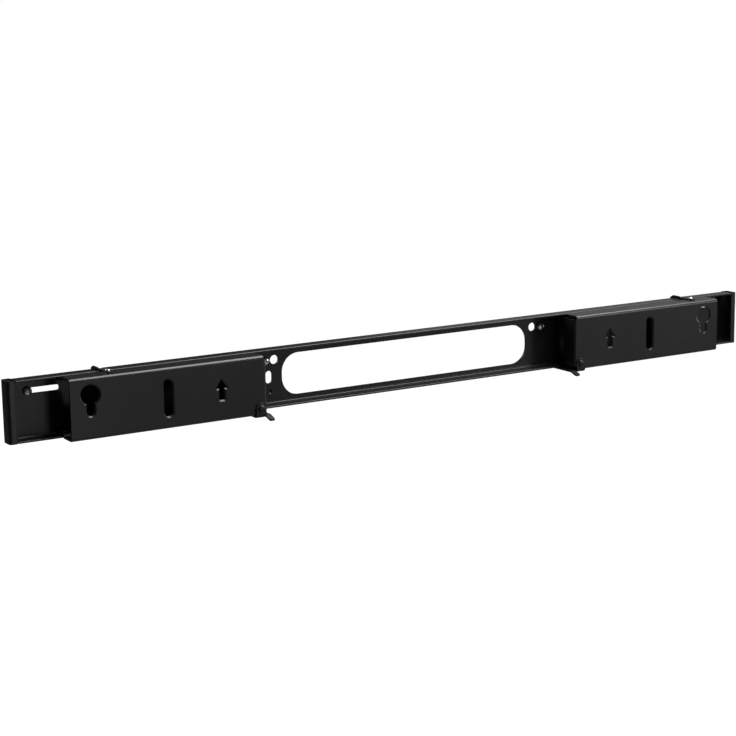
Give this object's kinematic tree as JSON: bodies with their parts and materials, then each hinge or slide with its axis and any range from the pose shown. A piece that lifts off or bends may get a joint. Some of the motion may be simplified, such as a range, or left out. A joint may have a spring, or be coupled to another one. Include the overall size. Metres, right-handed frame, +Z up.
{
  "type": "soundbar wall bracket",
  "caption": "Long folded steel wall bracket for a soundbar, with a cable window and box-shaped spacers with keyholes.",
  "frame": {"origin": "middle of the rail's rear face, in the plane of the wall", "axes": "+X along the rail, +Y into the wall, +Z up as the bracket hangs"},
  "size_m": [0.904, 0.0548, 0.069],
  "materials": {
    "powder_coat": "satin",
    "dip_coat": "satin",
    "zinc_plate": "satin",
    "black_oxide": "satin"
  },
  "bodies": {
    "root": {"wall_rail": "powder_coat", "left_hanger_box": "powder_coat", "left_hook_clip": "dip_coat", "left_clip_rivet": "zinc_plate", "left_locking_tab": "dip_coat", "left_locking_screw": "black_oxide", "left_locking_nut": "zinc_plate", "left_outer_wall_screw": "zinc_plate", "left_inner_wall_screw": "zinc_plate", "right_hanger_box": "powder_coat", "right_hook_clip": "dip_coat", "right_clip_rivet": "zinc_plate", "right_locking_tab": "dip_coat", "right_locking_screw": "black_oxide", "right_locking_nut": "zinc_plate", "right_outer_wall_screw": "zinc_plate", "right_inner_wall_screw": "zinc_plate"}
  },
  "joints": []
}
